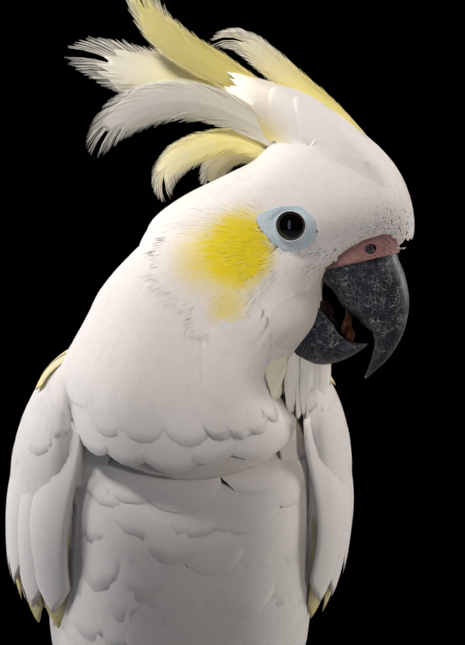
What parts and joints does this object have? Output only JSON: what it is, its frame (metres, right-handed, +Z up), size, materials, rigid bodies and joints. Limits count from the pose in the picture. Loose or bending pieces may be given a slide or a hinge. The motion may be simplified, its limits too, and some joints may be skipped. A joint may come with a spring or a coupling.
{
  "type": "white cockatoo",
  "caption": "Standing white cockatoo with its head turned to its left, a curling yellow crest half raised, hooked bill ajar and tail tip on the floor.",
  "frame": {"origin": "middle of the bird's bounding box, on the floor it stands on", "axes": "+Z up; the bird's breast faces -Y and its tail lies towards +Y; +X is the bird's left, the side its head is turned to"},
  "size_m": [0.1296, 0.242, 0.365],
  "materials": {
    "plumage": "satin white feathers",
    "crest": "soft pale yellow feathers",
    "bill": "dark slate horn with pale scratches",
    "cere": "bare pinkish grey skin",
    "bare_skin": "wrinkled pale blue skin",
    "eye": "wet gloss",
    "tongue": "damp dark skin",
    "foot": "scaly dark grey skin",
    "claw": "dark horn"
  },
  "bodies": {
    "root": {"head": "plumage", "cere": "cere", "bill_upper": "bill", "bill_lower": "bill", "tongue": "tongue", "eye_left": "eye", "eyelid_left": "bare_skin", "eye_right": "eye", "eyelid_right": "bare_skin", "crest_1": "crest", "crest_2": "crest", "crest_3": "crest", "crest_4": "crest", "crest_5": "crest", "crest_6": "crest", "crest_7": "plumage", "crest_8": "plumage", "neck": "plumage", "throat": "plumage", "trunk": "plumage", "tail": "plumage", "wing_left": "plumage", "secondaries_left": "plumage", "primaries_left": "plumage", "thigh_left": "plumage", "foot_left": "foot", "claw_left_front_outer": "claw", "claw_left_front_inner": "claw", "claw_left_back_outer": "claw", "claw_left_back_inner": "claw", "wing_right": "plumage", "secondaries_right": "plumage", "primaries_right": "plumage", "thigh_right": "plumage", "foot_right": "foot", "claw_right_front_outer": "claw", "claw_right_front_inner": "claw", "claw_right_back_outer": "claw", "claw_right_back_inner": "claw"}
  },
  "joints": []
}
